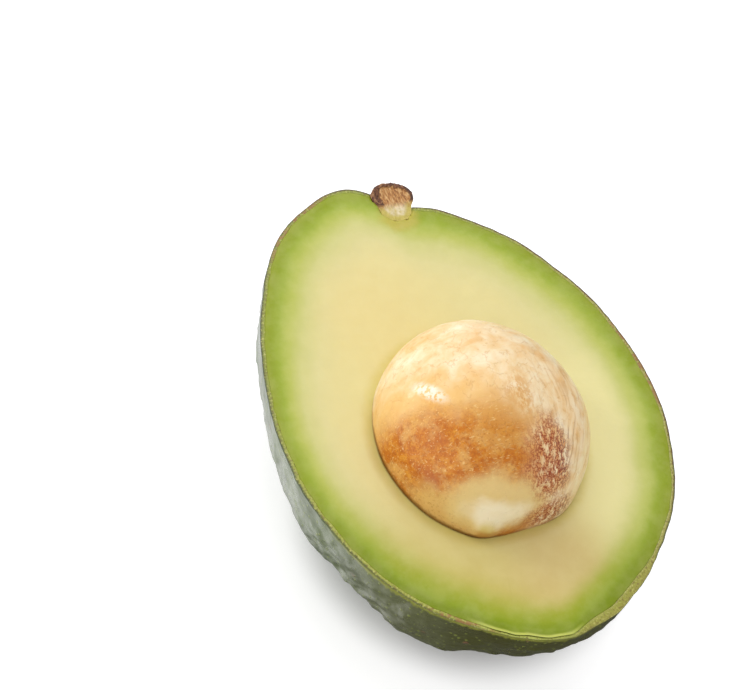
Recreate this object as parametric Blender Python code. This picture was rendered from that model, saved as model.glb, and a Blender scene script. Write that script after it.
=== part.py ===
"""Half of a ripe avocado, cut lengthwise, lying on its rounded back with the cut face up.

Frame: metres, +Z up, +Y towards the stem end, +X to the right when looking down on the cut
face. The origin is on the surface that the half rests on, under the middle of the fruit.

Pieces: the skin, the flesh with the hollow that the seed fills, the seed, and the woody stem
end, which was cut in half together with the fruit. Neighbouring pieces keep a small gap.
"""
import math

import bmesh
import bpy
import numpy as np
from mathutils import Matrix, Vector

MM = 0.001

# ---- driving dimensions, in metres ----------------------------------------------------------
CUT_HEIGHT = 0.035         # the cut face stands this high above the resting surface
SKIN_WALL = 0.0013         # thickness of the skin
GAP = 0.0003               # clearance between neighbouring pieces
FLAT_SHARE = 0.22          # the flat spot on the back, as a share of the cut face's outline

POLE = Vector((-0.001, -0.008, 0.0))         # centre of the seed on the cut face
SEED_HALF_AXES = (0.0191, 0.0210, 0.0191)    # across, along the fruit, and up
CAVITY_MARGIN = 0.0004                       # the hollow is wider than the seed by this much

# Outline of the cut face before the stem's dimple, in millimetres: clockwise seen from
# above, from the blossom end up the left side, over the higher left shoulder, and back.
OUTLINE_MM = (
    (0.0, -48.0), (-15.0, -42.6), (-27.0, -32.0), (-34.2, -16.5), (-36.0, -2.0),
    (-34.0, 13.0), (-29.3, 27.5), (-21.5, 40.0), (-8.0, 48.0), (3.0, 45.0),
    (13.0, 38.8), (24.0, 29.5), (32.5, 15.0), (36.0, -2.0), (34.2, -17.0),
    (27.0, -31.5), (15.0, -42.0),
)

# Stem end: a woody button whose plug reaches into the flesh.
STEM_BASE = Vector((0.0026, 0.0425, 0.0))    # where the plug meets the button, on the cut face
STEM_LEAN = math.radians(8.0)                # the button leans towards +X
DIMPLE_DEPTH = 0.0028                        # the fruit is drawn in around the stem
DIMPLE_RADIUS = 0.0055

# The stem's turned profile in millimetres: radius, and height along its axis from STEM_BASE.
STEM_PROFILE_MM = (
    (1.9, -3.2), (3.0, -1.8), (3.4, 0.0), (4.1, 1.4), (4.2, 2.8), (3.3, 4.3), (1.8, 5.0),
)
STEM_PROFILE_ENDS_MM = (-3.6, 5.2)           # where the profile starts and ends on its axis

# ---- mesh fineness --------------------------------------------------------------------------
AROUND = 60                # facets around the fruit
DOWN = 8                   # rings from the cut face to the flat spot
CAVITY_DOWN = 7            # rings from the cut face to the bottom of the hollow
SEED_AROUND = 36
SEED_RINGS = 14
STEM_AROUND = 10           # facets around the half of the stem
SPLINE_STEPS = 24          # samples between two points of the outline

FLAT_ANGLE = math.acos(FLAT_SHARE)           # angle below the cut face where the flat spot starts


# ---- the cut face's outline -----------------------------------------------------------------
def closed_spline(points, steps):
    """Catmull-Rom curve through the points and back to the first, as an array of x, y."""
    points = np.array(points)
    before = np.roll(points, 1, axis=0)
    after = np.roll(points, -1, axis=0)
    beyond = np.roll(points, -2, axis=0)
    curve = []
    for t in np.arange(steps) / steps:
        curve.append(
            points
            + 0.5 * t * (after - before)
            + 0.5 * t**2 * (2 * before - 5 * points + 4 * after - beyond)
            + 0.5 * t**3 * (3 * points - before - 3 * after + beyond)
        )
    return np.stack(curve, axis=1).reshape(-1, 2)


def outline_radii(angles):
    """Distance from the pole to the outline in each direction."""
    curve = closed_spline(OUTLINE_MM, SPLINE_STEPS) * MM - np.array(POLE.xy)
    direction = np.arctan2(curve[:, 1], curve[:, 0])
    order = np.argsort(direction)
    return np.interp(
        angles, direction[order], np.hypot(curve[order, 0], curve[order, 1]), period=math.tau
    )


def inset_radii(angles, inset):
    """The outline's distance from the pole, drawn in by inset square to the outline."""
    step = math.radians(1.5)
    radii = outline_radii(angles)
    slope = (outline_radii(angles + step) - outline_radii(angles - step)) / (2 * step)
    return radii - inset * np.sqrt(1 + (slope / radii) ** 2)


def dimpled(point):
    """The point, drawn towards the blossom end where it is near the stem."""
    distance = (point - STEM_BASE).length
    return point - Vector((0, DIMPLE_DEPTH * math.exp(-((distance / DIMPLE_RADIUS) ** 2)), 0))


# ---- rings of the solids, all in one grid of directions around the pole ---------------------
def directions(count):
    return np.arange(count) / count * math.tau


def back_rings(inset):
    """Rings of the rounded back, drawn in by inset, from the cut face to the flat spot."""
    angles = directions(AROUND)
    radii = inset_radii(angles, inset)
    depth = CUT_HEIGHT - inset
    rings = []
    for i in range(DOWN + 1):
        below = FLAT_ANGLE * i / DOWN
        reach = radii * math.cos(below)
        z = -depth * math.sin(below) / math.sin(FLAT_ANGLE)
        ring = [
            dimpled(POLE + Vector((r * math.cos(a), r * math.sin(a), z)))
            for a, r in zip(angles, reach)
        ]
        rings.append(ring)
    return rings


def ellipsoid_ring(half_axes, around, elevation):
    """One level ring of an ellipsoid around the pole, at an elevation in radians."""
    across, along, up = half_axes
    return [
        POLE
        + Vector(
            (
                across * math.cos(elevation) * math.cos(a),
                along * math.cos(elevation) * math.sin(a),
                up * math.sin(elevation),
            )
        )
        for a in directions(around)
    ]


# ---- mesh helpers ---------------------------------------------------------------------------
def add_ring(bm, points):
    return [bm.verts.new(p) for p in points]


def bridge(bm, ring_a, ring_b):
    """Quads between two rings with as many vertices each."""
    count = len(ring_a)
    for i in range(count):
        j = (i + 1) % count
        bm.faces.new((ring_a[i], ring_a[j], ring_b[j], ring_b[i]))


def fan(bm, ring, tip):
    """Triangles from a ring to one vertex."""
    for i in range(len(ring)):
        bm.faces.new((ring[i], ring[(i + 1) % len(ring)], tip))


def finish_object(name, bm, material, parent, smooth_angle=math.radians(40)):
    """A named object made from the mesh, with its faces pointing out."""
    bmesh.ops.recalc_face_normals(bm, faces=bm.faces)
    mesh = bpy.data.meshes.new(name)
    bm.to_mesh(mesh)
    bm.free()
    mesh.shade_smooth()
    mesh.set_sharp_from_angle(angle=smooth_angle)
    if material:
        mesh.materials.append(material)
    obj = bpy.data.objects.new(name, mesh)
    bpy.context.scene.collection.objects.link(obj)
    obj.parent = parent
    return obj


def plain_material(name, colour, roughness):
    material = bpy.data.materials.new(name)
    material.use_nodes = True
    shader = material.node_tree.nodes["Principled BSDF"]
    shader.inputs["Base Color"].default_value = (*colour, 1.0)
    shader.inputs["Roughness"].default_value = roughness
    shader.inputs["Metallic"].default_value = 0.0
    return material


# ---- the pieces -----------------------------------------------------------------------------
def make_skin(parent):
    """A thin bowl, with a flat spot under its back."""
    bm = bmesh.new()
    outer = [add_ring(bm, ring) for ring in back_rings(0.0)]
    inner = [add_ring(bm, ring) for ring in back_rings(SKIN_WALL)]
    for rings in (outer, inner):
        for upper, lower in zip(rings, rings[1:]):
            bridge(bm, upper, lower)
        bm.faces.new(rings[-1])
    bridge(bm, outer[0], inner[0])
    material = plain_material("skin", (0.045, 0.075, 0.012), 0.42)
    return finish_object("skin", bm, material, parent)


def make_flesh(parent):
    """Fills the skin, with a flat cut face around the hollow for the seed."""
    bm = bmesh.new()
    rings = [add_ring(bm, ring) for ring in back_rings(SKIN_WALL + GAP)]
    for upper, lower in zip(rings, rings[1:]):
        bridge(bm, upper, lower)
    bm.faces.new(rings[-1])

    hollow = [half + CAVITY_MARGIN for half in SEED_HALF_AXES]
    hollow_rings = [
        add_ring(bm, ellipsoid_ring(hollow, AROUND, -math.pi / 2 * i / CAVITY_DOWN))
        for i in range(CAVITY_DOWN)
    ]
    bridge(bm, rings[0], hollow_rings[0])
    for upper, lower in zip(hollow_rings, hollow_rings[1:]):
        bridge(bm, upper, lower)
    fan(bm, hollow_rings[-1], bm.verts.new(POLE - Vector((0, 0, hollow[2]))))
    material = plain_material("flesh", (0.78, 0.72, 0.32), 0.55)
    return finish_object("flesh", bm, material, parent)


def make_seed(parent):
    """The whole seed, half of it standing above the cut face."""
    bm = bmesh.new()
    rings = [
        add_ring(bm, ellipsoid_ring(SEED_HALF_AXES, SEED_AROUND, math.pi * (i / SEED_RINGS - 0.5)))
        for i in range(1, SEED_RINGS)
    ]
    for lower, upper in zip(rings, rings[1:]):
        bridge(bm, lower, upper)
    up = Vector((0, 0, SEED_HALF_AXES[2]))
    fan(bm, rings[0], bm.verts.new(POLE - up))
    fan(bm, rings[-1], bm.verts.new(POLE + up))
    material = plain_material("seed", (0.72, 0.40, 0.16), 0.45)
    return finish_object("seed", bm, material, parent)


def turned_stem(bm, margin, turn):
    """The stem's profile, grown by margin, swept through turn below the cut face.

    A half turn is closed by the flat face of the cut; a full turn needs no face.
    """
    lean = Matrix.Rotation(-STEM_LEAN, 3, "Z")
    steps = STEM_AROUND if turn < math.tau else 2 * STEM_AROUND
    columns = steps + 1 if turn < math.tau else steps

    def at(radius, height, angle):
        local = Vector((radius * math.cos(angle), height, -radius * math.sin(angle)))
        return bm.verts.new(STEM_BASE + lean @ local)

    low, high = STEM_PROFILE_ENDS_MM
    foot = at(0, low * MM - margin, 0)
    top = at(0, high * MM + margin, 0)
    rings = [
        [at(radius * MM + margin, height * MM, turn * j / steps) for j in range(columns)]
        for radius, height in STEM_PROFILE_MM
    ]
    for j in range(steps):
        k = (j + 1) % columns
        bm.faces.new((foot, rings[0][j], rings[0][k]))
        bm.faces.new((top, rings[-1][k], rings[-1][j]))
        for lower, upper in zip(rings, rings[1:]):
            bm.faces.new((lower[j], upper[j], upper[k], lower[k]))
    if turn < math.tau:
        right_side = [ring[0] for ring in rings]
        left_side = [ring[-1] for ring in reversed(rings)]
        bm.faces.new((foot, *right_side, top, *left_side))


def make_stem(parent):
    bm = bmesh.new()
    turned_stem(bm, 0.0, math.pi)
    material = plain_material("stem", (0.20, 0.10, 0.045), 0.75)
    return finish_object("stem", bm, material, parent)


def make_socket_cutter(parent):
    """The room for the stem, cut from the skin and the flesh."""
    bm = bmesh.new()
    turned_stem(bm, GAP, math.tau)
    cutter = finish_object("stem_socket_cutter", bm, None, parent)
    cutter.hide_render = True
    cutter.display_type = "WIRE"
    return cutter


def cut(obj, cutter):
    modifier = obj.modifiers.new("stem socket", "BOOLEAN")
    modifier.operation = "DIFFERENCE"
    modifier.solver = "EXACT"
    modifier.object = cutter


def main():
    for old in list(bpy.data.objects):
        bpy.data.objects.remove(old)

    # Every piece is modelled around the cut face, which the empty carries to its height.
    fruit = bpy.data.objects.new("avocado_half", None)
    fruit.location = (0.0, 0.0, CUT_HEIGHT)
    bpy.context.scene.collection.objects.link(fruit)

    skin = make_skin(fruit)
    flesh = make_flesh(fruit)
    make_seed(fruit)
    make_stem(fruit)
    cutter = make_socket_cutter(fruit)
    cut(skin, cutter)
    cut(flesh, cutter)


main()
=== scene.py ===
"""The looks of a cut avocado half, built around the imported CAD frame.

Shapes are worked out in millimetres from the pole, which is the seed's centre on the cut
face; place() carries them into the frame's metres. Materials read positions in millimetres
from the same pole. +X is across the fruit, +Y towards the stem end, +Z out of the cut face.
"""
import math

import bmesh
import bpy
import numpy as np
from mathutils import Matrix, Vector, kdtree, noise


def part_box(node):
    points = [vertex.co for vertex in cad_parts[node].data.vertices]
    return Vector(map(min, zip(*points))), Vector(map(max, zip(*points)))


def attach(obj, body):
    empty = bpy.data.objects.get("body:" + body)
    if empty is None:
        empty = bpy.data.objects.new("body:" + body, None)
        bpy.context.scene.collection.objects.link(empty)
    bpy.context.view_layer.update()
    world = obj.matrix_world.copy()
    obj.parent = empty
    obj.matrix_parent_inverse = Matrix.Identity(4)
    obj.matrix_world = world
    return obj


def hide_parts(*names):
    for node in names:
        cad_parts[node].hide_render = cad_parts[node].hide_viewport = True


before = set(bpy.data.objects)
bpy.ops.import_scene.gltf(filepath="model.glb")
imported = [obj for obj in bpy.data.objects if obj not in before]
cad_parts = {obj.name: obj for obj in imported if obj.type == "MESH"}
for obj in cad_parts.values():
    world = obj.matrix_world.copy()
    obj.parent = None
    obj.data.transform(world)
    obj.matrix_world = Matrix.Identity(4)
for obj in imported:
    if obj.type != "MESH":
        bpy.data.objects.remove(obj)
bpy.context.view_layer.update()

MM = 0.001
TURN = math.tau

# ---- places and sizes, from the frame -------------------------------------------------------
seed_low, seed_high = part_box("seed")
skin_low, skin_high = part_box("skin")
POLE = (seed_low + seed_high) / 2                       # in metres
CUT_DEPTH = (skin_high.z - skin_low.z) / MM             # from the cut face to the floor
SEED_HALF_AXES = np.array(seed_high - seed_low) / 2 / MM

# The cut face's outline before the stem's dimple, the same as the CAD's, in millimetres from
# the frame's origin: from the blossom end up the left side, over the left shoulder, and back.
OUTLINE = np.array((
    (0.0, -48.0), (-15.0, -42.6), (-27.0, -32.0), (-34.2, -16.5), (-36.0, -2.0),
    (-34.0, 13.0), (-29.3, 27.5), (-21.5, 40.0), (-8.0, 48.0), (3.0, 45.0),
    (13.0, 38.8), (24.0, 29.5), (32.5, 15.0), (36.0, -2.0), (34.2, -17.0),
    (27.0, -31.5), (15.0, -42.0),
)) - np.array(POLE.xy) / MM

SKIN_WALL = 1.3
EDGE_OVERLAP = 0.05                                     # the cut edge over the flesh
FLESH_GAP = 0.4                                         # hidden, between flesh and skin
HOLLOW_GAP = 0.3                                        # hidden, under the seed
NOT_NEAR = 20.0                                         # in a distance attribute, off the cut face
FLAT_SHARE = 0.22                                       # flat spot, as a share of the outline
FLAT_ANGLE = math.acos(FLAT_SHARE)

STEM_BASE = np.array((2.6, 42.5, CUT_DEPTH)) - np.array(POLE) / MM
STEM_LEAN = math.radians(8.0)
DIMPLE_DEPTH = 2.8
DIMPLE_RADIUS = 5.5
# Turned profile of the stem: radius, and height along its axis from STEM_BASE.
STEM_PROFILE = (
    (0.0, -3.6), (1.9, -3.2), (3.0, -1.8), (3.4, 0.0), (4.1, 1.4), (4.2, 2.8), (3.3, 4.3),
    (1.8, 5.0), (0.0, 5.2),
)

AROUND = 560                                            # columns around the fruit

# ---- the camera, where the real one stood ---------------------------------------------------
CAMERA_AIM = Vector((-0.0125, 0.0136, skin_high.z))
CAMERA_DISTANCE = 0.3144
CAMERA_ELEVATION = math.radians(53.2)
CAMERA_AZIMUTH = math.radians(39.3)                     # from straight in front towards -X
CAMERA_ROLL = math.radians(22.5)
CAMERA_LENS = 85.0


# ---- shape helpers --------------------------------------------------------------------------
def place(points):
    """Points in millimetres from the pole, as metres in the frame."""
    return np.asarray(points) * MM + np.array(POLE)


def smooth_step(value, low, high):
    """0 below low, 1 above high, and an even slope between."""
    t = np.clip((value - low) / (high - low), 0, 1)
    return t * t * (3 - 2 * t)


def noise_at(points, size, seed):
    """Smooth noise from -1 to 1 whose lumps are about size millimetres wide."""
    offset = Vector((13.1, 71.7, 37.3)) * seed
    flat = np.asarray(points).reshape(-1, 3) / size
    values = [noise.noise(Vector(p) + offset) for p in flat]
    return np.array(values).reshape(np.shape(points)[:-1])


def closed_spline(points, steps):
    """Catmull-Rom curve through the points and back to the first."""
    before = np.roll(points, 1, axis=0)
    after = np.roll(points, -1, axis=0)
    beyond = np.roll(points, -2, axis=0)
    curve = [
        points
        + 0.5 * t * (after - before)
        + 0.5 * t**2 * (2 * before - 5 * points + 4 * after - beyond)
        + 0.5 * t**3 * (3 * points - before - 3 * after + beyond)
        for t in np.arange(steps) / steps
    ]
    return np.stack(curve, axis=1).reshape(-1, 2)


OUTLINE_CURVE = closed_spline(OUTLINE, 200)


def outline_radii(angles):
    """Distance from the pole to the outline in each direction."""
    direction = np.arctan2(OUTLINE_CURVE[:, 1], OUTLINE_CURVE[:, 0])
    order = np.argsort(direction)
    distance = np.hypot(OUTLINE_CURVE[order, 0], OUTLINE_CURVE[order, 1])
    return np.interp(angles, direction[order], distance, period=TURN)


ANGLES = np.arange(AROUND) / AROUND * TURN
OUTLINE_RADII = outline_radii(ANGLES)
HEADINGS = np.stack([np.cos(ANGLES), np.sin(ANGLES)], axis=1)


def outline_skew():
    """How much longer a step towards the pole is than a step square to the outline."""
    step = math.radians(1.5)
    slope = (outline_radii(ANGLES + step) - outline_radii(ANGLES - step)) / (2 * step)
    return np.sqrt(1 + (slope / OUTLINE_RADII) ** 2)


OUTLINE_SKEW = outline_skew()


def towards(degrees, spread):
    """1 for the columns that lie at this angle from +X, fading to 0 at spread degrees off."""
    off = np.abs((np.degrees(ANGLES) - degrees + 180) % 360 - 180)
    return 1 - smooth_step(off, 0.4 * spread, spread)


def ring(radii, z):
    """One ring around the pole."""
    return np.column_stack([HEADINGS * np.asarray(radii)[:, None], np.full(AROUND, z)])


def back_ring(below, inset):
    """One ring of the rounded back, at an angle below the cut face, drawn in by inset."""
    radii = (OUTLINE_RADII - inset * OUTLINE_SKEW) * math.cos(below)
    return ring(radii, -(CUT_DEPTH - inset) * math.sin(below) / math.sin(FLAT_ANGLE))


def dimpled(points):
    """The points, drawn towards the blossom end where they are near the stem."""
    distance = np.linalg.norm(points - STEM_BASE, axis=-1)
    moved = np.array(points)
    moved[..., 1] -= DIMPLE_DEPTH * np.exp(-((distance / DIMPLE_RADIUS) ** 2))
    return moved


def grid_normals(rows):
    """Normals of a grid of rings: around, crossed with along."""
    around = np.roll(rows, -1, axis=1) - np.roll(rows, 1, axis=1)
    along = np.gradient(rows, axis=0)
    normals = np.cross(around, along)
    return normals / np.maximum(np.linalg.norm(normals, axis=-1, keepdims=True), 1e-9)


def mesh_object(name, points, faces, attributes, material):
    mesh = bpy.data.meshes.new(name)
    mesh.from_pydata(place(points).tolist(), [], faces)
    mesh.update()
    mesh.shade_smooth()
    for key, values in attributes.items():
        layer = mesh.attributes.new(key, "FLOAT", "POINT")
        layer.data.foreach_set("value", np.asarray(values, dtype=np.float32).ravel())
    mesh.materials.append(material)
    obj = bpy.data.objects.new(name, mesh)
    bpy.context.scene.collection.objects.link(obj)
    return obj


def closed_grid(name, rows, material, **attributes):
    """A closed body from rings, each end drawn together to the middle of its last ring.

    Each attribute has one value for each point of the rings.
    """
    count, around = rows.shape[:2]
    points = np.vstack([rows.reshape(-1, 3), rows[0].mean(axis=0), rows[-1].mean(axis=0)])
    first, last = count * around, count * around + 1
    faces = []
    for j in range(around):
        k = (j + 1) % around
        faces.append((first, k, j))
        faces.append(((count - 1) * around + j, (count - 1) * around + k, last))
        for i in range(count - 1):
            a, b = i * around, (i + 1) * around
            faces.append((a + j, a + k, b + k, b + j))
    full = {
        key: np.concatenate([values.ravel(), [values[0].mean(), values[-1].mean()]])
        for key, values in attributes.items()
    }
    return mesh_object(name, points, faces, full, material)


def finish_piece(obj, node):
    """Hides the CAD node's own mesh, and hangs the piece under the root body."""
    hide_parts(node)
    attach(obj, "root")


# ---- material helpers -----------------------------------------------------------------------
class Surface:
    """One node material, with short calls for the nodes that it is made of."""

    def __init__(self, name, **settings):
        self.material = bpy.data.materials.new(name)
        self.material.use_nodes = True
        self.nodes = self.material.node_tree.nodes
        self.links = self.material.node_tree.links
        self.shader = self.nodes["Principled BSDF"]
        for key, value in settings.items():
            self.shader.inputs[key.replace("_", " ").title().replace("Ior", "IOR")].default_value = value
        coordinates = self.nodes.new("ShaderNodeTexCoord").outputs["Object"]
        centred = self.vector("SUBTRACT", coordinates, tuple(POLE))
        self.position = self.vector("MULTIPLY", centred, (1 / MM,) * 3)

    def put(self, socket, value):
        """Links a socket, or sets a plain value."""
        if isinstance(value, bpy.types.NodeSocket):
            self.links.new(value, socket)
        elif isinstance(value, (tuple, list)) and len(value) == 3 and socket.type == "RGBA":
            socket.default_value = (*value, 1.0)
        else:
            socket.default_value = value

    def vector(self, operation, a, b):
        node = self.nodes.new("ShaderNodeVectorMath")
        node.operation = operation
        self.put(node.inputs[0], a)
        self.put(node.inputs[1], b)
        return node.outputs["Value" if operation in ("LENGTH", "DOT_PRODUCT") else "Vector"]

    def math(self, operation, a, b=0.0):
        node = self.nodes.new("ShaderNodeMath")
        node.operation = operation
        self.put(node.inputs[0], a)
        self.put(node.inputs[1], b)
        return node.outputs[0]

    def parts(self, vector):
        """The X, Y and Z of a vector."""
        node = self.nodes.new("ShaderNodeSeparateXYZ")
        self.put(node.inputs[0], vector)
        return tuple(node.outputs)

    def joined(self, x, y):
        """A vector from its X and Y."""
        node = self.nodes.new("ShaderNodeCombineXYZ")
        self.put(node.inputs[0], x)
        self.put(node.inputs[1], y)
        return node.outputs[0]

    def attribute(self, name):
        node = self.nodes.new("ShaderNodeAttribute")
        node.attribute_name = name
        return node.outputs["Fac"]

    def step(self, value, low, high, start=0.0, end=1.0):
        """start below low, end above high, and a smooth slope between."""
        node = self.nodes.new("ShaderNodeMapRange")
        node.interpolation_type = "SMOOTHSTEP"
        for socket, setting in zip(node.inputs, (value, low, high, start, end)):
            self.put(socket, setting)
        return node.outputs[0]

    def noise(self, size, detail=2.0, roughness=0.5, distortion=0.0, where=None, stretch=(1, 1, 1)):
        """Noise from 0 to 1 with lumps about size millimetres wide, longer by stretch."""
        node = self.nodes.new("ShaderNodeTexNoise")
        scaled = self.vector("DIVIDE", where or self.position, tuple(size * s for s in stretch))
        self.put(node.inputs["Vector"], scaled)
        node.inputs["Scale"].default_value = 1.0
        node.inputs["Detail"].default_value = detail
        node.inputs["Roughness"].default_value = roughness
        node.inputs["Distortion"].default_value = distortion
        return node.outputs["Fac"]

    def cells(self, size, feature="F1", where=None):
        """Distance from the middles of scattered cells, or from their edges, in cell sizes."""
        node = self.nodes.new("ShaderNodeTexVoronoi")
        node.feature = feature
        scaled = self.vector("DIVIDE", where or self.position, (size,) * 3)
        self.put(node.inputs["Vector"], scaled)
        node.inputs["Scale"].default_value = 1.0
        return node.outputs["Distance"]

    def warped(self, size, amount):
        """The position, pushed about by noise."""
        node = self.nodes.new("ShaderNodeTexNoise")
        self.put(node.inputs["Vector"], self.vector("DIVIDE", self.position, (size,) * 3))
        node.inputs["Scale"].default_value = 1.0
        centred = self.vector("SUBTRACT", node.outputs["Color"], (0.5, 0.5, 0.5))
        return self.vector("ADD", self.position, self.vector("MULTIPLY", centred, (2 * amount,) * 3))

    def mix(self, factor, a, b):
        """Colour a, turning into colour b where the factor is 1."""
        node = self.nodes.new("ShaderNodeMix")
        node.data_type = "RGBA"
        # For colours the node uses its inputs 6 and 7 and its output 2.
        for index, value in ((0, factor), (6, a), (7, b)):
            self.put(node.inputs[index], value)
        return node.outputs[2]

    def paint(self, colour, strength, under, *masks):
        """The colour over what is under it, at this strength where every mask is 1."""
        return self.mix(self.times(strength, *masks), under, colour)

    def ramp(self, factor, *stops):
        """A colour ramp; each stop is a position and a colour."""
        node = self.nodes.new("ShaderNodeValToRGB")
        elements = node.color_ramp.elements
        while len(elements) < len(stops):
            elements.new(1.0)
        for element, (at, colour) in zip(elements, stops):
            element.position = at
            element.color = (*colour, 1.0)
        self.put(node.inputs["Fac"], factor)
        return node.outputs["Color"]

    def ramp_mm(self, value, *stops):
        """A colour ramp whose stops are in millimetres."""
        reach = stops[-1][0]
        shares = [(at / reach, colour) for at, colour in stops]
        return self.ramp(self.math("DIVIDE", value, reach), *shares)

    def near(self, centre, inner, outer, where=None, sizes=(1, 1, 1)):
        """1 within inner of a place, fading to 0 at outer; sizes stretches the zone's axes."""
        offset = self.vector("SUBTRACT", where or self.position, tuple(centre))
        distance = self.vector("LENGTH", self.vector("DIVIDE", offset, tuple(sizes)), (0, 0, 0))
        return self.step(distance, inner, outer, 1.0, 0.0)

    def streak(self, centre, direction, length, width, where):
        """1 along a short line through a place, fading to 0 at width on its sides."""
        offset = self.vector("SUBTRACT", where, tuple(centre))
        way = Vector(direction).normalized()
        along = self.vector("DOT_PRODUCT", offset, tuple(way))
        shortened = self.math("MULTIPLY", along, 1 - width / length)
        across = self.vector("SUBTRACT", offset, self.vector("MULTIPLY", tuple(way), shortened))
        return self.step(self.vector("LENGTH", across, (0, 0, 0)), 0.3 * width, width, 1.0, 0.0)

    def towards(self, degrees, spread):
        """1 in the direction at this angle from +X around the pole, fading to 0 at spread."""
        flat = self.vector("MULTIPLY", self.position, (1.0, 1.0, 0.0))
        heading = self.vector("NORMALIZE", flat, (0, 0, 0))
        angle = math.radians(degrees)
        facing = self.vector("DOT_PRODUCT", heading, (math.cos(angle), math.sin(angle), 0.0))
        return self.step(facing, math.cos(math.radians(spread)), math.cos(math.radians(0.4 * spread)))

    def either(self, a, b):
        return self.math("MAXIMUM", a, b)

    def times(self, *factors):
        product = factors[0]
        for factor in factors[1:]:
            product = self.math("MULTIPLY", product, factor)
        return product

    def bump(self, height, depth, strength=1.0, under=None):
        """A bump whose height of 1 stands depth millimetres proud."""
        node = self.nodes.new("ShaderNodeBump")
        node.inputs["Strength"].default_value = strength
        node.inputs["Distance"].default_value = depth * MM
        self.put(node.inputs["Height"], height)
        if under:
            self.put(node.inputs["Normal"], under)
        return node.outputs["Normal"]

    def wear(self, colour=None, roughness=None, normal=None):
        """Links the finished colour, roughness and bump to the shader."""
        for name, value in (("Base Color", colour), ("Roughness", roughness), ("Normal", normal)):
            if value is not None:
                self.put(self.shader.inputs[name], value)
        return self.material


# ---- the skin -------------------------------------------------------------------------------
def pebble_relief(points, rings_apart=2.3):
    """Low round bumps scattered over the back, in millimetres of height at each point."""
    rng = np.random.default_rng(7)
    centres = []
    for below in np.arange(0, math.pi / 2, rings_apart / 42):
        here = back_ring(below, 0.0)
        count = max(3, int(np.linalg.norm(here - np.roll(here, 1, axis=0), axis=1).sum() / rings_apart))
        columns = (np.arange(count) + rng.uniform(0, 1, count)) / count * AROUND
        spots = here[columns.astype(int) % AROUND]
        centres.append(spots + rng.normal(0, 0.5, spots.shape))
    centres = np.vstack(centres)
    widths = rng.uniform(0.9, 1.9, len(centres))
    heights = rng.uniform(0.03, 0.16, len(centres))
    tree = kdtree.KDTree(len(centres))
    for i, centre in enumerate(centres):
        tree.insert(centre, i)
    tree.balance()
    relief = []
    for point in points.reshape(-1, 3):
        height = 0.0
        for _, i, distance in tree.find_range(point, 1.9):
            if distance < widths[i]:
                height += heights[i] * (0.5 + 0.5 * math.cos(math.pi * distance / widths[i]))
        relief.append(height)
    return np.array(relief).reshape(points.shape[:-1])


def skin_relief(points):
    """The skin's dents and pebbles, in millimetres out of the smooth back."""
    drawn_out = points * (1, 0.75, 1)
    creases = np.abs(noise_at(drawn_out, 2.6, 4))
    relief = (
        0.40 * noise_at(drawn_out, 8.0, 1)
        + 0.26 * noise_at(drawn_out, 3.6, 2)
        + 0.09 * noise_at(points, 1.7, 3)
        + 0.22 * np.minimum(creases, 0.35)
        + 0.35 * noise_at(points, 2.8, 5) * towards(213, 32)
        + 1.2 * pebble_relief(points)
        - 0.20
    )
    below = -points[..., 2]
    # Broad dents low on the back, and a lump at the cut beside the blossom end.
    dents = 0.7 * towards(237, 16) - 0.6 * towards(210, 20) - 0.6 * towards(262, 16)
    lump = 0.6 * towards(293, 17)
    return (
        relief * (0.45 + 0.55 * smooth_step(below, 0, 5))
        + dents * smooth_step(below, 2, 14)
        + lump * (1 - smooth_step(below, 3, 12))
    )


def outer_skin(rows_down=126):
    """The skin's outer face, from the flat spot up to the cut."""
    belows = np.linspace(math.radians(87), 0, rows_down)
    smooth = np.stack([back_ring(below, 0.0) for below in belows])
    relief = skin_relief(smooth)
    rows = dimpled(smooth + grid_normals(smooth) * relief[..., None])
    rows[..., 2] = np.clip(rows[..., 2], -CUT_DEPTH, 0.0)
    rows[-1, :, 2] = 0.0
    return rows


def inward(rim):
    """Unit steps from a rim towards the fruit's inside, in the plane of the cut."""
    along = np.roll(rim, -1, axis=0) - np.roll(rim, 1, axis=0)
    across = np.column_stack([-along[:, 1], along[:, 0], np.zeros(len(rim))])
    return across / np.linalg.norm(across, axis=1, keepdims=True)


def stem_radius(height):
    radii, heights = zip(*STEM_PROFILE)
    return np.interp(height, heights, radii, left=0.0, right=0.0)


def stem_axis_coordinates(points):
    """Each point's distance from the stem's axis within the cut plane, and its height along it."""
    offset = points - STEM_BASE
    side = offset[..., 0] * math.cos(STEM_LEAN) - offset[..., 1] * math.sin(STEM_LEAN)
    height = offset[..., 0] * math.sin(STEM_LEAN) + offset[..., 1] * math.cos(STEM_LEAN)
    return side, height


def with_socket(points, shrink=0.25):
    """The points, pushed below the room that the stem takes, a little smaller than the stem."""
    side, height = stem_axis_coordinates(points)
    radius = stem_radius(height) - shrink
    depth = np.sqrt(np.maximum(radius**2 - side**2, 0))
    moved = np.array(points)
    inside = (radius > 0) & (depth > 0)
    moved[..., 2] = np.where(inside, np.minimum(moved[..., 2], -depth), moved[..., 2])
    return moved


# The cut edge from the outside in: share of the wall crossed, and height above the cut.
EDGE_SECTION = ((0.08, -0.07), (0.2, -0.02), (0.45, 0.03), (0.7, 0.05), (0.9, 0.05), (1.0, 0.0))


def edge_width(rim):
    """About 0.8 mm, thinner at the blossom end and scuffed wide beside it."""
    uneven = 0.80 * (1 + 0.25 * noise_at(rim, 3.0, 12))
    return uneven + 0.8 * towards(289, 19) - 0.35 * towards(260, 15)


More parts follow.
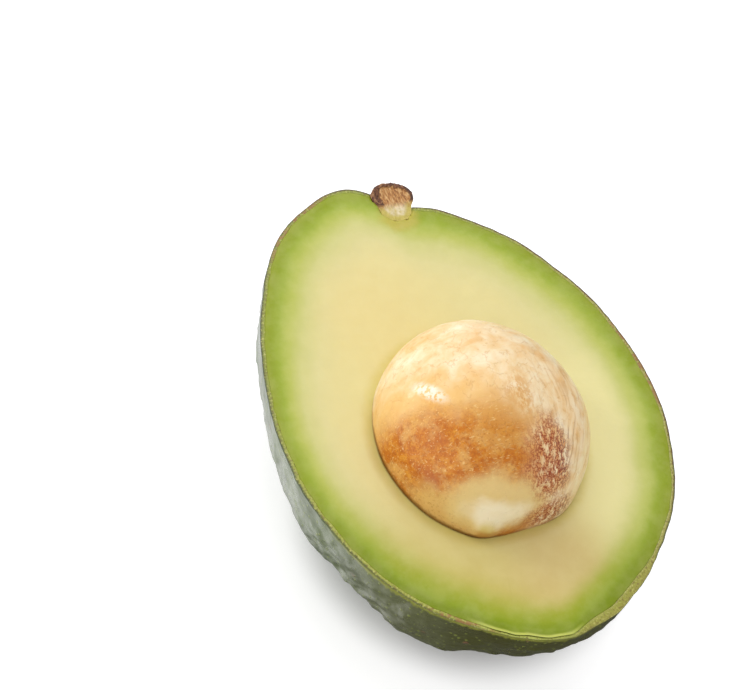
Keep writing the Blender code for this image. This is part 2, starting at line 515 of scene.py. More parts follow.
def make_skin(outer, width):
    """The outer face, the cut edge and the inner face."""
    rim = outer[-1]
    step = inward(rim)
    wobble = 0.04 * noise_at(rim, 1.2, 11)
    edge = []
    depths = []
    for share, height in EDGE_SECTION:
        row = rim + step * (width * share)[:, None]
        row[:, 2] = height + wobble
        edge.append(row)
        depths.append(width * share)
    inner_belows = np.linspace(0.05, math.radians(86), 16)
    inner = [dimpled(back_ring(below, SKIN_WALL)) for below in inner_belows]
    rows = with_socket(np.concatenate([outer, edge, inner]))
    depth = np.concatenate([
        np.zeros(outer.shape[:2]), np.array(depths), np.full((len(inner), AROUND), SKIN_WALL)
    ])
    skin = closed_grid("avocado_skin", rows, skin_material(), skin_depth=depth)
    finish_piece(skin, "skin")


def rind_colour(s, pores, corks):
    """The back: dark green, with a faint painted grey-green sheen on the left, pores and brown corks."""
    green = s.ramp(
        s.noise(9.0, detail=4.0, roughness=0.6),
        (0.30, (0.016, 0.030, 0.002)), (0.52, (0.030, 0.054, 0.004)), (0.72, (0.062, 0.088, 0.012)),
    )
    # More olive beside the blossom end, and on the left a faint grey-green painted sheen, which stands
    # in for the gloss's reflection there.
    green = s.paint((0.055, 0.048, 0.008), 0.7, green, s.towards(262, 66))
    sheen_breakup = s.noise(2.4, detail=5.0, roughness=0.65, stretch=(1.3, 1.3, 0.6))
    left_painted_sheen = s.step(s.math("ADD", s.towards(192, 66), sheen_breakup), 0.60, 1.70)
    green = s.paint((0.30, 0.33, 0.21), 0.20, green, left_painted_sheen)
    colour = s.paint((0.22, 0.26, 0.040), 0.5, green, pores)
    cork_colour = s.ramp(s.noise(0.5), (0.35, (0.035, 0.014, 0.006)), (0.7, (0.20, 0.11, 0.045)))
    colour = s.mix(corks, colour, cork_colour)
    # Just below the cut it is paler on the lower left, and browned on the right.
    _, _, height = s.parts(s.position)
    ragged_height = s.math("ADD", height, s.times(s.noise(0.9, detail=3.0), 1.6))
    pale_height = s.step(ragged_height, -0.3, 0.5)
    colour = s.paint((0.21, 0.22, 0.022), 0.9, colour, pale_height, s.towards(240, 46))
    brown_height = s.step(ragged_height, 0.1, 0.6)
    return s.paint((0.07, 0.038, 0.014), 0.8, colour, brown_height, s.towards(40, 95))


def cut_edge_colour(s, depth):
    """The cut edge, from the dark rind outside to green inside, gritty and scuffed."""
    ragged = s.math("ADD", depth, s.times(s.math("SUBTRACT", s.noise(0.6, detail=3.0), 0.5), 0.45))
    colour = s.ramp_mm(
        ragged,
        (0.00, (0.050, 0.055, 0.012)), (0.12, (0.12, 0.13, 0.026)), (0.30, (0.19, 0.21, 0.030)),
        (0.55, (0.26, 0.29, 0.028)), (0.85, (0.24, 0.29, 0.014)), (2.40, (0.26, 0.31, 0.020)),
    )
    # A line just inside the rind: gold on the lower left and tan on the right.
    line = s.times(s.step(ragged, 0.22, 0.40), s.step(ragged, 0.95, 0.70))
    colour = s.paint((0.34, 0.355, 0.045), 0.8, colour, line, s.towards(215, 55))
    colour = s.paint((0.42, 0.38, 0.11), 0.65, colour, line, s.towards(350, 90))
    # An olive tan scuff beside the blossom end, and a painted highlight along the lip at it.
    colour = s.paint((0.31, 0.29, 0.040), 0.75, colour, s.towards(290, 22))
    colour = s.paint((0.50, 0.54, 0.11), 0.85, colour, s.step(depth, 0.03, 0.12), s.towards(260, 15))
    grit = s.noise(0.40, detail=3.0)
    colour = s.paint((0.16, 0.09, 0.025), 0.6, colour, s.step(grit, 0.56, 0.62))
    colour = s.paint((0.52, 0.48, 0.14), 0.6, colour, s.step(grit, 0.43, 0.36))
    # Brown along the outside on the right, and reddish scuffs in three places.
    patchy = s.step(s.noise(1.6, detail=2.0), 0.40, 0.56)
    outermost = s.step(ragged, 0.45, 0.22)
    colour = s.paint((0.13, 0.055, 0.020), 0.85, colour, outermost, s.towards(30, 90), patchy)
    scuffed = s.either(s.towards(12, 20), s.either(s.towards(109, 12), s.towards(243, 11)))
    return s.paint((0.30, 0.13, 0.042), 0.75, colour, scuffed, patchy)


def skin_material():
    s = Surface("avocado skin", specular_ior_level=0.40, coat_weight=0.10, coat_roughness=0.15)
    # Yellow-green breathing pores of uneven size, and a few larger corky specks.
    pore_distance = s.cells(1.15, where=s.warped(1.2, 0.25))
    pore_size = s.math("MULTIPLY", s.noise(3.0, detail=1.0), 0.28)
    pores = s.step(s.math("SUBTRACT", pore_distance, pore_size), 0.0, 0.10, 1.0, 0.0)
    cork_distance = s.cells(6.5, where=s.warped(0.9, 0.45))
    chosen = s.step(s.noise(11.0, detail=1.0), 0.50, 0.56)
    corks = s.times(s.step(cork_distance, 0.07, 0.13, 1.0, 0.0), chosen)
    depth = s.attribute("skin_depth")
    on_cut = s.step(depth, 0.02, 0.08)
    colour = s.mix(on_cut, rind_colour(s, pores, corks), cut_edge_colour(s, depth))
    roughness = s.step(s.noise(5.0, detail=3.0), 0.3, 0.7, 0.24, 0.40)
    fine = s.bump(s.noise(0.8, detail=3.0, roughness=0.6, stretch=(1.3, 1.3, 0.7)), 0.12, 0.7)
    raised = s.bump(pores, 0.06, 0.8, fine)
    return s.wear(colour, roughness, s.bump(corks, 0.16, 0.8, raised))


# ---- the flesh ------------------------------------------------------------------------------
def hollow_radii():
    """The hollow's edge follows the seed, and stands clear of it a little on the lower left."""
    on_cut = np.column_stack([HEADINGS, np.zeros(AROUND)])
    across, along = (SEED_HALF_AXES[:2, None] + seed_relief(on_cut))
    seed_edge = 1 / np.sqrt((HEADINGS[:, 0] / across) ** 2 + (HEADINGS[:, 1] / along) ** 2)
    return seed_edge - 0.30 + 0.34 * towards(215, 70)


def flesh_face(rim, rows_in=74):
    """The cut face, from the skin to the hollow."""
    hollow = ring(hollow_radii(), 0.0)
    shares = np.linspace(0, 1, rows_in)
    shares = shares - 0.48 * np.sin(TURN * shares) / TURN
    rows = rim + (hollow - rim) * shares[:, None, None]
    to_rim = np.linalg.norm(rows - rim, axis=-1) / OUTLINE_SKEW
    to_seed = np.linalg.norm(rows - hollow, axis=-1)
    waves = 0.16 * noise_at(rows, 11.0, 21) + 0.05 * noise_at(rows, 3.5, 22)
    slump = 0.15 + 0.20 * towards(225, 95)
    # Beside the blossom end the flesh bulges over the skin, behind a shallow groove.
    bulge = towards(261, 16) * (
        0.30 * (1 - smooth_step(to_rim, 0.0, 0.7)) - 0.25 * np.exp(-(((to_rim - 1.6) / 0.7) ** 2))
    )
    rows[..., 2] = (
        0.10
        + waves * smooth_step(to_rim, 0.3, 3.0)
        - 0.05 * (1 - smooth_step(to_rim, 0.0, 1.0))
        + bulge
        - slump * (1 - smooth_step(to_seed, 0.0, 2.6))
    )
    return rows, to_rim, to_seed


def make_flesh(rim):
    face, to_rim, to_seed = flesh_face(rim)
    back_belows = np.linspace(math.radians(86), 0.06, 16)
    back = np.stack([dimpled(back_ring(below, SKIN_WALL + FLESH_GAP)) for below in back_belows])
    hollow = []
    for below in np.linspace(0.06, math.radians(84), 16):
        depth = (SEED_HALF_AXES[2] + HOLLOW_GAP) * math.sin(below) + 0.4 * math.cos(below)
        hollow.append(ring(hollow_radii() * math.cos(below), -depth))
    hollow = np.stack(hollow)
    rows = with_socket(np.concatenate([back, face, hollow]))
    rim_mm = np.concatenate([np.zeros(back.shape[:2]), to_rim, np.full(hollow.shape[:2], NOT_NEAR)])
    seed_mm = np.concatenate([np.full(back.shape[:2], NOT_NEAR), to_seed, np.zeros(hollow.shape[:2])])
    flesh = closed_grid("avocado_flesh", rows, flesh_material(), rim_mm=rim_mm, seed_mm=seed_mm)
    finish_piece(flesh, "flesh")


def flesh_band(s, depth, patchy):
    """Green beside the skin to cream inside; deeper in colour towards the blossom end."""
    upper = s.ramp_mm(
        depth,
        (0.0, (0.25, 0.30, 0.012)), (1.0, (0.255, 0.325, 0.012)), (2.0, (0.30, 0.38, 0.028)),
        (3.0, (0.39, 0.445, 0.067)), (4.0, (0.46, 0.49, 0.103)), (6.0, (0.58, 0.56, 0.21)),
        (9.0, (0.67, 0.605, 0.275)), (12.0, (0.71, 0.62, 0.28)),
    )
    lower = s.ramp_mm(
        depth,
        (0.0, (0.18, 0.24, 0.002)), (1.2, (0.185, 0.25, 0.002)), (2.4, (0.24, 0.315, 0.009)),
        (4.4, (0.31, 0.350, 0.018)), (6.8, (0.42, 0.40, 0.058)), (9.0, (0.525, 0.44, 0.105)),
        (12.0, (0.56, 0.45, 0.135)),
    )
    lowness = s.vector("DOT_PRODUCT", s.position, (-0.30, -0.95, 0.0))
    low_side = s.math("ADD", lowness, s.times(patchy, 9.0))
    return s.mix(s.step(low_side, 8.0, 33.0), upper, lower)


def flesh_casts(s, colour, depth):
    """The soft casts of colour over the cream, which fade out in the green band."""
    inside = s.step(depth, 4.0, 8.0)
    # Tan below the seed, warm between the stem and the seed, and paler on the right.
    tan = s.near((5.0, -27.5, 0.0), 3.0, 15.0)
    colour = s.paint((0.59, 0.45, 0.18), 0.8, colour, tan, inside)
    warm = s.near((-8.0, 27.0, 0.0), 2.0, 19.0)
    colour = s.paint((0.75, 0.60, 0.245), 0.6, colour, warm, inside)
    pale = s.near((25.0, -9.0, 0.0), 6.0, 20.0, sizes=(1.0, 1.7, 1.0))
    colour = s.paint((0.81, 0.72, 0.37), 0.85, colour, pale, inside)
    # There the green band is a little paler too.
    return s.paint((0.72, 0.74, 0.28), 0.20, colour, pale, s.step(depth, 1.5, 4.0))


def flesh_fibres(s, rim, depth):
    """Where faint fibres fan out below the seed."""
    across, along, _ = s.parts(s.position)
    fan_angle = s.math("ARCTAN2", across, s.math("MULTIPLY", along, -1.0))
    fan = s.joined(s.math("MULTIPLY", fan_angle, 46.0), s.math("MULTIPLY", rim, 0.10))
    fibres = s.step(s.noise(1.6, detail=2.0, where=fan), 0.60, 0.78)
    below_seed = s.step(along, -32.0, -22.0, 1.0, 0.0)
    return s.times(fibres, below_seed, s.step(depth, 2.0, 6.0))


def flesh_material():
    s = Surface(
        "avocado flesh", subsurface_weight=0.10, subsurface_scale=0.002, specular_ior_level=0.22
    )
    s.shader.inputs["Subsurface Radius"].default_value = (1.0, 0.8, 0.3)
    rim = s.attribute("rim_mm")
    beside_seed = s.attribute("seed_mm")
    patchy = s.math("SUBTRACT", s.noise(9.0, detail=3.0), 0.5)
    fine = s.math("SUBTRACT", s.noise(1.6, detail=3.0), 0.5)
    # The green band along the skin is widest at the upper right, with a ragged inner edge.
    narrowed = s.math("DIVIDE", rim, s.step(s.towards(40, 150), 0.0, 1.0, 0.86, 1.28))
    depth = s.math("ADD", narrowed, s.math("ADD", s.times(patchy, 2.4), s.times(fine, 0.6)))
    colour = flesh_casts(s, flesh_band(s, depth, patchy), depth)
    # Painted shade in darker yellow beside the seed, where the flesh dips into the hollow; a painted
    # highlight along the lip at the blossom end; and a brown line in the hollow's edge.
    seed_side_shade = s.step(s.math("ADD", beside_seed, s.times(fine, 1.2)), 0.0, 2.6, 1.0, 0.0)
    colour = s.paint((0.62, 0.51, 0.11), 0.60, colour, seed_side_shade)
    colour = s.paint((0.52, 0.56, 0.12), 0.9, colour, s.step(rim, 0.8, 0.3), s.towards(260, 17))
    hollow_edge = s.step(beside_seed, 0.35, 0.05)
    colour = s.paint((0.22, 0.12, 0.015), 0.7, colour, hollow_edge, s.towards(215, 75))
    # A stain around the stem's plug.
    stain = s.near(STEM_BASE - np.array((0, 2.2, 0)), 2.4, 5.0, s.warped(1.5, 0.8))
    colour = s.paint((0.52, 0.38, 0.06), 0.6, colour, stain)
    colour = s.paint((0.42, 0.33, 0.07), 0.22, colour, flesh_fibres(s, rim, depth))
    mottle = s.step(s.noise(4.0, detail=5.0, roughness=0.6), 0.35, 0.70)
    colour = s.paint((0.82, 0.76, 0.38), 0.10, colour, mottle)
    roughness = s.step(s.noise(2.2, detail=3.0), 0.3, 0.7, 0.36, 0.52)
    grain = s.bump(s.noise(0.9, detail=4.0, roughness=0.55), 0.06, 0.5)
    waves = s.bump(s.noise(5.0, detail=2.0, stretch=(1.0, 0.5, 1.0)), 0.25, 0.35, grain)
    return s.wear(colour, roughness, waves)


# ---- the seed -------------------------------------------------------------------------------
# Places on the seed, as shares of its half axes from its centre.
SEED_BASE = (-0.32, -0.87, 0.38)
SEED_NUB = (-0.38, -0.92, 0.12)


def icosphere(subdivisions):
    bm = bmesh.new()
    bmesh.ops.create_icosphere(bm, subdivisions=subdivisions, radius=1.0)
    points = np.array([v.co[:] for v in bm.verts])
    faces = [[v.index for v in face.verts] for face in bm.faces]
    bm.free()
    return points, faces


def near(directions, centre, width):
    """1 at a place on the seed, fading to 0 at width."""
    return 1 - smooth_step(np.linalg.norm(directions - np.array(centre), axis=-1), 0.0, width)


def seed_relief(directions):
    """How far the seed stands out of its plain oval, in millimetres, in each direction."""
    lumps = (
        0.30 * noise_at(directions, 0.75, 31)
        + 0.13 * noise_at(directions, 0.30, 32)
        + 0.06 * noise_at(directions * (1.0, 0.45, 1.0), 0.12, 33)
        + 0.03 * noise_at(directions, 0.05, 34)
        - 0.25 * near(directions, SEED_BASE, 0.35)
    )
    above = smooth_step(directions[:, 2], -0.05, 0.35)
    return (
        lumps * (0.35 + 0.65 * above)
        - 0.40
        + 0.50 * near(directions, SEED_NUB, 0.20)
        - 1.30 * near(directions, (0.02, -1.0, 0.05), 0.55)
        + 0.45 * near(directions, (0.85, -0.20, 0.50), 0.70)
    )


def make_seed():
    directions, faces = icosphere(7)
    points = directions * (SEED_HALF_AXES + seed_relief(directions)[:, None])
    seed = mesh_object("avocado_seed", points, faces, {}, seed_material())
    finish_piece(seed, "seed")


class SeedSurface(Surface):
    """A surface on which places are given as shares of the seed's half axes from its centre."""

    def __init__(self, name, **settings):
        super().__init__(name, **settings)
        self.on_seed = self.vector("DIVIDE", self.position, tuple(SEED_HALF_AXES))
        self.wobbly = self.vector("DIVIDE", self.warped(3.5, 1.6), tuple(SEED_HALF_AXES))

    def spot(self, centre, inner, outer, sizes=(1, 1, 1)):
        """1 within inner of a place, fading to 0 at outer, with a wobbly outline."""
        return self.near(centre, inner, outer, self.wobbly, sizes)

    def facing(self, direction, low, high):
        """0 below low and 1 above high, along a direction on the seed."""
        return self.step(self.vector("DOT_PRODUCT", self.on_seed, direction), low, high)

    def strands(self):
        """Noise drawn out into long streaks, which run from end to end of the seed."""
        x, y, z = self.parts(self.warped(6.0, 1.3))
        meridian = self.math("ARCTAN2", z, x)
        around = self.math("MULTIPLY", meridian, SEED_HALF_AXES[0])
        return self.noise(0.9, detail=4.0, where=self.joined(around, self.math("MULTIPLY", y, 0.16)))


def browned_seed(s):
    """Peach, golden round the waist, and caramel brown over the lower left."""
    peach = s.ramp(
        s.noise(3.4, detail=6.0, roughness=0.55, distortion=0.4),
        (0.30, (0.77, 0.48, 0.20)), (0.50, (0.82, 0.61, 0.34)), (0.68, (0.87, 0.73, 0.50)),
    )
    caramel = s.ramp(
        s.noise(1.5, detail=8.0, roughness=0.75),
        (0.34, (0.40, 0.095, 0.004)), (0.48, (0.52, 0.15, 0.006)), (0.64, (0.65, 0.27, 0.025)),
    )
    across, _, _ = s.parts(s.wobbly)
    lowness = s.vector("DOT_PRODUCT", s.wobbly, (-0.45, -0.85, 0.0))
    golden = s.times(s.step(lowness, -0.10, 0.24), s.step(across, 0.25, -0.35))
    colour = s.paint((0.76, 0.43, 0.11), 0.75, peach, golden)
    browned = s.times(s.step(lowness, 0.20, 0.48), s.step(across, 0.16, -0.12))
    colour = s.mix(browned, colour, caramel)
    ochre = s.step(s.noise(4.2, detail=5.0, roughness=0.6), 0.48, 0.62)
    colour = s.paint((0.70, 0.41, 0.12), 0.6, colour, browned, ochre)
    # Redder and darker in four places.
    colour = s.paint((0.60, 0.25, 0.03), 0.6, colour, s.spot((-0.22, -0.34, 0.92), 0.08, 0.34))
    colour = s.paint((0.40, 0.09, 0.012), 0.8, colour, s.spot((-0.83, -0.46, 0.34), 0.02, 0.20))
    middle = s.spot((-0.50, -0.64, 0.58), 0.0, 0.24, (1.4, 1, 1))
    colour = s.paint((0.50, 0.15, 0.02), 0.55, colour, middle)
    colour = s.paint((0.46, 0.12, 0.012), 0.55, colour, s.spot((-0.72, -0.26, 0.65), 0.0, 0.18))
    # Fine dark specks and short pale scratches.
    dark = s.step(s.noise(0.34, detail=3.0), 0.55, 0.65)
    colour = s.paint((0.32, 0.085, 0.010), 0.42, colour, dark, browned)
    light = s.step(s.noise(0.36, detail=2.0, stretch=(2.6, 0.9, 1.0)), 0.61, 0.70)
    return s.paint((0.84, 0.60, 0.24), 0.5, colour, light, golden)


def pale_based(s, colour):
    """A golden tan painted along the lower left edge as its highlight, with brown freckles, and the pale
    base with its halo and brown nub.
    """
    highlight_and_freckle_edge = s.spot((-0.70, -0.72, 0.12), 0.16, 0.40, (1.3, 1.3, 0.8))
    colour = s.paint((0.70, 0.46, 0.15), 0.8, colour, highlight_and_freckle_edge)
    freckles = s.step(s.noise(0.6, detail=5.0, roughness=0.7), 0.54, 0.62)
    colour = s.paint((0.42, 0.19, 0.045), 0.55, colour, highlight_and_freckle_edge, freckles)
    halo = s.spot((-0.36, -0.85, 0.38), 0.20, 0.42, (1.6, 1, 1))
    colour = s.paint((0.74, 0.55, 0.22), 0.9, colour, halo)
    white = s.spot((-0.33, -0.88, 0.31), 0.08, 0.28, (1.6, 1, 0.8))
    colour = s.paint((0.88, 0.76, 0.52), 0.95, colour, white)
    colour = s.paint((0.66, 0.50, 0.12), 0.7, colour, s.spot((-0.38, -0.92, 0.17), 0.02, 0.12))
    return s.paint((0.50, 0.25, 0.05), 0.85, colour, s.spot((-0.38, -0.95, 0.06), 0.04, 0.14))


def streaked(s, colour, strands):
    """A painted white highlight streak, brown and pale streaks down the right side, and an orange smear.
    """
    painted_highlight_streak = s.streak((-0.65, 0.13, 0.74), (0.15, -0.26, 0.19), 0.30, 0.09, s.on_seed)
    highlight_breakup = s.step(s.noise(0.7, detail=3.0), 0.36, 0.52)
    colour = s.paint((0.90, 0.80, 0.66), 0.85, colour, painted_highlight_streak, highlight_breakup)
    right_side = s.spot((0.60, -0.30, 0.66), 0.30, 0.80)
    colour = s.paint((0.58, 0.31, 0.11), 0.38, colour, s.step(strands, 0.51, 0.62), right_side)
    colour = s.paint((0.87, 0.70, 0.44), 0.40, colour, s.step(strands, 0.47, 0.38), right_side)
    smear = s.spot((0.05, -0.17, 0.98), 0.04, 0.26, (0.75, 1.3, 1))
    flecks = s.step(s.noise(0.8, detail=6.0, roughness=0.7, stretch=(0.7, 1.5, 1.0)), 0.44, 0.56)
    return s.paint((0.64, 0.30, 0.065), 0.7, colour, smear, flecks)


def veined(s, colour, strands):
    """A clumpy net of fine veins, red-brown to purple, low on the right: colour and vein lines."""
    net_place = s.vector("MULTIPLY", s.warped(0.8, 0.6), (1.0, 0.6, 1.0))
    net = s.step(s.cells(0.50, feature="DISTANCE_TO_EDGE", where=net_place), 0.04, 0.20, 1.0, 0.0)
    clumps = s.step(s.noise(1.1, detail=6.0, roughness=0.75, stretch=(0.6, 1.5, 1.0)), 0.41, 0.51)
    net_zone = s.spot((0.19, -0.68, 0.69), 0.16, 0.43, (0.78, 1.2, 1.1))
    low_zone = s.spot((0.24, -0.94, 0.18), 0.08, 0.28, (1.5, 1, 1))
    vein_zone = s.either(net_zone, low_zone)
    veins = s.times(net, clumps, vein_zone)
    purple = s.facing((1.0, 0.0, 0.0), 0.22, 0.40)
    vein_colour = s.mix(purple, (0.29, 0.045, 0.010), (0.17, 0.050, 0.045))
    colour = s.paint((0.58, 0.20, 0.050), 0.8, colour, vein_zone, clumps)
    colour = s.paint(vein_colour, 0.95, colour, veins)
    # Longer lines between the net and the streaks.
    between = s.spot((0.40, -0.50, 0.76), 0.10, 0.32, (0.6, 1.3, 1))
    colour = s.paint((0.24, 0.10, 0.085), 0.7, colour, s.step(strands, 0.60, 0.66), between)
    return colour, veins


def brown_edged(s, colour):
    """The brown edge of the seed coat where the seed leaves the flesh."""
    _, _, height = s.parts(s.warped(1.3, 0.4))
    edge = s.step(height, 0.0, 0.9, 1.0, 0.0)
    colour = s.paint((0.20, 0.085, 0.012), 0.8, colour, edge, s.facing((-0.86, -0.50, 0.0), 0.25, 0.80))
    return s.paint((0.26, 0.11, 0.030), 0.7, colour, edge, s.facing((0.64, -0.77, 0.0), 0.60, 0.95))


def seed_material():
    s = SeedSurface(
        "avocado seed", subsurface_weight=0.06, subsurface_scale=0.0015,
        specular_ior_level=0.20, coat_weight=0.22, coat_roughness=0.10,
    )
    s.shader.inputs["Subsurface Radius"].default_value = (1.0, 0.6, 0.3)
    # Hair-thin broken wrinkles.
    wrinkles = s.cells(2.6, feature="DISTANCE_TO_EDGE", where=s.warped(1.6, 1.5))
    broken = s.step(s.noise(1.4, detail=3.0), 0.47, 0.56)
    wrinkled = s.times(s.step(wrinkles, 0.06, 0.01), broken)
    strands = s.strands()
    colour = s.paint((0.62, 0.33, 0.10), 0.35, browned_seed(s), wrinkled)
    colour = streaked(s, pale_based(s, colour), strands)
    colour, veins = veined(s, colour, strands)
    colour = brown_edged(s, colour)
    roughness = s.step(s.noise(2.5, detail=4.0), 0.3, 0.7, 0.28, 0.50)
    ridges = s.noise(1.6, detail=4.0, roughness=0.6, where=s.warped(5.0, 1.5), stretch=(1.3, 0.9, 1.0))
    normal = s.bump(ridges, 0.20, 0.5)
    normal = s.bump(s.noise(0.4, detail=3.0), 0.06, 0.5, normal)
    normal = s.bump(s.times(wrinkled, -1.0), 0.08, 0.5, normal)
    normal = s.bump(veins, -0.05, 0.5, normal)
    return s.wear(colour, roughness, normal)


# ---- the stem end ---------------------------------------------------------------------------
def profile_distance(side, height):
    """How deep each point of the stem's cut face lies inside the stem's side and top."""
    corners = np.array(STEM_PROFILE)
    point = np.stack([np.abs(side), height], axis=-1)[..., None, :]
    start, span = corners[:-1], np.diff(corners, axis=0)
    share = np.clip(((point - start) * span).sum(axis=-1) / (span**2).sum(axis=-1), 0, 1)
    return np.linalg.norm(point - start - share[..., None] * span, axis=-1).min(axis=-1)


def stem_rings(columns=112, rows_up=84):
    """A halved turned body on the stem's axis: rounded and rough below, cut flat above.

    Also how deep each point lies inside the outline of the cut face.
    """
    radii, heights = (np.array(side) for side in zip(*STEM_PROFILE))
    length = np.concatenate([[0], np.cumsum(np.hypot(np.diff(radii), np.diff(heights)))])
    along = np.linspace(0.003, 0.997, rows_up) * length[-1]
    radius = np.interp(along, length, radii)[:, None]
    height = np.interp(along, length, heights)[:, None]
    turn = (np.arange(columns) + 0.5) / columns * TURN
    # Below the cut the section is a half circle; above, the columns share out its width.
    under = np.sin(turn) < 0
    side = np.where(under, np.cos(turn), np.interp(turn, (0, math.pi), (1, -1)))
    local = np.stack(
        [radius * side, height + 0 * radius * side, radius * np.minimum(np.sin(turn), 0)], axis=-1
    )
    depth = profile_distance(local[..., 0], local[..., 1])
    depth = np.where(under, 0.0, depth)
    rough = 0.6 * noise_at(local, 1.1, 41) + 0.4 * noise_at(local, 0.45, 42)
    outward = np.stack([side * under, 0 * side, np.minimum(np.sin(turn), 0)], axis=-1)
    crust = smooth_step(local[..., 1], -0.2, 0.8)
    local = local + outward * (rough * 0.40 * crust)[..., None]
    local[..., 1] += rough * 0.25 * crust
    # The bark's edge stands proud of the wood on the cut face.
    ridge = 0.30 * crust * (1 - smooth_step(depth, 0.5, 1.1))
    local[..., 2] += np.where(under, 0, 0.10 + ridge + rough * 0.22)
    lean = np.array(Matrix.Rotation(-STEM_LEAN, 3, "Z"))
    # Heights grow along +Y, so the rings run from the foot up and the columns run clockwise.
    return (local @ lean.T + STEM_BASE)[:, ::-1], depth[:, ::-1]


def make_stem():
    rows, depth = stem_rings()
    stem = closed_grid("avocado_stem", rows, stem_material(), bark_depth=depth)
    finish_piece(stem, "stem")


def stem_material():
    s = Surface("avocado stem", roughness=0.6)
    here = s.vector("SUBTRACT", s.position, tuple(STEM_BASE))
    across, along, _ = s.parts(here)
    grain = s.noise(0.6, detail=4.0, roughness=0.65, where=here, stretch=(0.6, 2.2, 1.0))
    wood = s.ramp(
        grain, (0.32, (0.15, 0.045, 0.010)), (0.50, (0.45, 0.20, 0.05)), (0.70, (0.74, 0.50, 0.23)),
    )
    # The plug in the flesh is pale and wet.
    wet = s.math("ADD", along, s.times(s.noise(1.0, where=here), 1.6))
    moist = s.noise(0.9, detail=3.0, where=here)
    pale = s.ramp(moist, (0.35, (0.56, 0.44, 0.17)), (0.65, (0.78, 0.68, 0.46)))
    depth = s.attribute("bark_depth")
    plug = s.mix(s.step(depth, 0.7, 1.6), (0.52, 0.42, 0.09), pale)
    colour = s.mix(s.step(wet, -0.4, 1.9, 1.0, 0.0), wood, plug)
    # Bark: thick on the left, thin on top, tan along its outermost edge.
    crust = s.noise(0.8, detail=5.0, roughness=0.7, distortion=0.5, where=here)
    bark_colour = s.ramp(
        crust,
        (0.30, (0.020, 0.007, 0.003)), (0.46, (0.10, 0.034, 0.014)),
        (0.56, (0.26, 0.10, 0.040)), (0.68, (0.60, 0.37, 0.18)),
    )
    left = s.step(across, -2.2, -1.2, 1.0, 0.0)
    thickness = s.math("ADD", s.times(left, 0.9), s.times(crust, 1.5))
    inside = s.math("SUBTRACT", depth, thickness)
    above = s.step(along, 0.0, 0.8)
    bark = s.times(s.step(inside, -0.15, 0.15, 1.0, 0.0), above)
    colour = s.mix(bark, colour, bark_colour)
    normal = s.bump(grain, 0.25, 0.7)
    normal = s.bump(s.times(crust, bark), 0.45, 0.9, normal)
    return s.wear(colour, None, normal)


# ---- floor, light and camera ----------------------------------------------------------------
def make_floor():
    """A white sheet that glows with painted light except in the fruit's shadow, with a painted dark
    contact shadow right under the fruit.
    """
    bpy.ops.mesh.primitive_plane_add(size=20.0, location=(0, 0, 0))
    floor = bpy.context.object
    floor.name = "floor"
    s = Surface("white sheet", roughness=0.9, specular_ior_level=0.0)
    shadow_centre = (8.0, 0.0, -CUT_DEPTH)
    shadow_size = (32.5, 31.5, 1.0)
    # Painted light: the sheet glows away from the fruit, so it stays white up to the shadow's edge.
    painted_glow = s.math("SUBTRACT", 1.0, s.near(shadow_centre, 0.84, 1.12, sizes=shadow_size))
    s.shader.inputs["Emission Color"].default_value = (1.0, 1.0, 1.0, 1.0)
    s.put(s.shader.inputs["Emission Strength"], s.times(painted_glow, 0.42))
    # Painted shadow: the sheet is painted dark right under the fruit.
    painted_contact_shadow = s.near(shadow_centre, 0.50, 0.90, sizes=shadow_size)
    colour = s.mix(painted_contact_shadow, (0.90, 0.895, 0.905), (0.20, 0.19, 0.21))
    floor.data.materials.append(s.wear(colour))
    # Gloss mirrors the world's lower half in the floor's place.
    floor.visible_glossy = False


def area_light(name, direction, distance, width, height, power):
    """A soft rectangular light, at a direction and distance from the fruit, facing it."""
    data = bpy.data.lights.new(name, "AREA")
    data.shape = "RECTANGLE"
    data.size = width
    data.size_y = height
    data.energy = power
    light = bpy.data.objects.new(name, data)
    away = Vector(direction).normalized()
    light.location = POLE + away * distance
    light.rotation_euler = away.to_track_quat("Z", "Y").to_euler()
    bpy.context.scene.collection.objects.link(light)


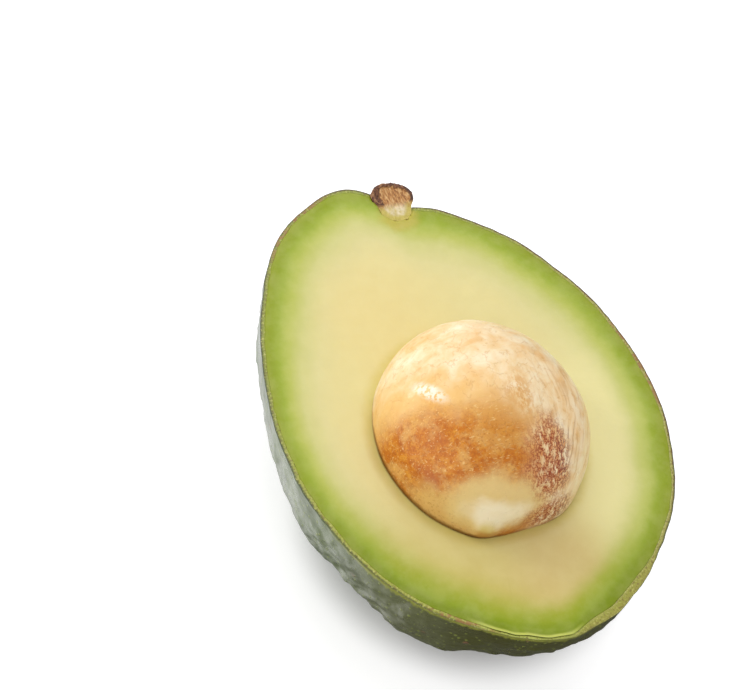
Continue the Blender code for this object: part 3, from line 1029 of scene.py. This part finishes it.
def make_world():
    """White all round; what gloss mirrors from below is bright at the back left and dim in front."""
    world = bpy.data.worlds.new("white studio")
    world.use_nodes = True
    nodes, links = world.node_tree.nodes, world.node_tree.links
    background = nodes["Background"]
    direction = nodes.new("ShaderNodeTexCoord").outputs["Generated"]

    def slope(axis, low, high, start, end):
        facing = nodes.new("ShaderNodeVectorMath")
        facing.operation = "DOT_PRODUCT"
        links.new(direction, facing.inputs[0])
        facing.inputs[1].default_value = axis
        step = nodes.new("ShaderNodeMapRange")
        step.interpolation_type = "SMOOTHSTEP"
        links.new(facing.outputs["Value"], step.inputs[0])
        for socket, setting in zip(step.inputs[1:], (low, high, start, end)):
            socket.default_value = setting
        return step.outputs[0]

    lower = slope((-0.7, 0.7, 0.0), 0.04, 0.48, 0.10, 2.00)
    strength = nodes.new("ShaderNodeMix")
    links.new(slope((0.0, 0.0, 1.0), -0.05, 0.05, 0.0, 1.0), strength.inputs[0])
    links.new(lower, strength.inputs[2])
    strength.inputs[3].default_value = 0.78
    links.new(strength.outputs[0], background.inputs["Strength"])
    background.inputs["Color"].default_value = (1.0, 1.0, 1.0, 1.0)
    bpy.context.scene.world = world


def make_lights():
    area_light("key", (0.12, 0.52, 0.84), 1.1, 0.9, 0.9, 4.0)
    area_light("left", (-0.95, -0.05, 0.30), 1.0, 0.8, 0.5, 1.8)
    area_light("strip", (-0.66, 0.68, 0.33), 0.8, 0.08, 0.40, 1.4)


def make_camera():
    flat = math.cos(CAMERA_ELEVATION)
    back = Vector((
        -math.sin(CAMERA_AZIMUTH) * flat, -math.cos(CAMERA_AZIMUTH) * flat, math.sin(CAMERA_ELEVATION)
    ))
    data = bpy.data.cameras.new("camera")
    data.lens = CAMERA_LENS
    camera = bpy.data.objects.new("camera", data)
    level = back.to_track_quat("Z", "Y").to_matrix()
    rolled = level @ Matrix.Rotation(CAMERA_ROLL, 3, "Z")
    camera.matrix_world = Matrix.Translation(CAMERA_AIM + back * CAMERA_DISTANCE) @ rolled.to_4x4()
    bpy.context.scene.collection.objects.link(camera)
    bpy.context.scene.camera = camera


# ---- the whole ------------------------------------------------------------------------------
def main():
    bpy.context.scene.view_settings.view_transform = "Standard"
    make_camera()
    make_world()
    make_lights()
    make_floor()
    outer = outer_skin()
    rim = outer[-1]
    width = edge_width(rim)
    make_skin(outer, width)
    make_flesh(rim + inward(rim) * (width - EDGE_OVERLAP)[:, None])
    make_seed()
    make_stem()


main()
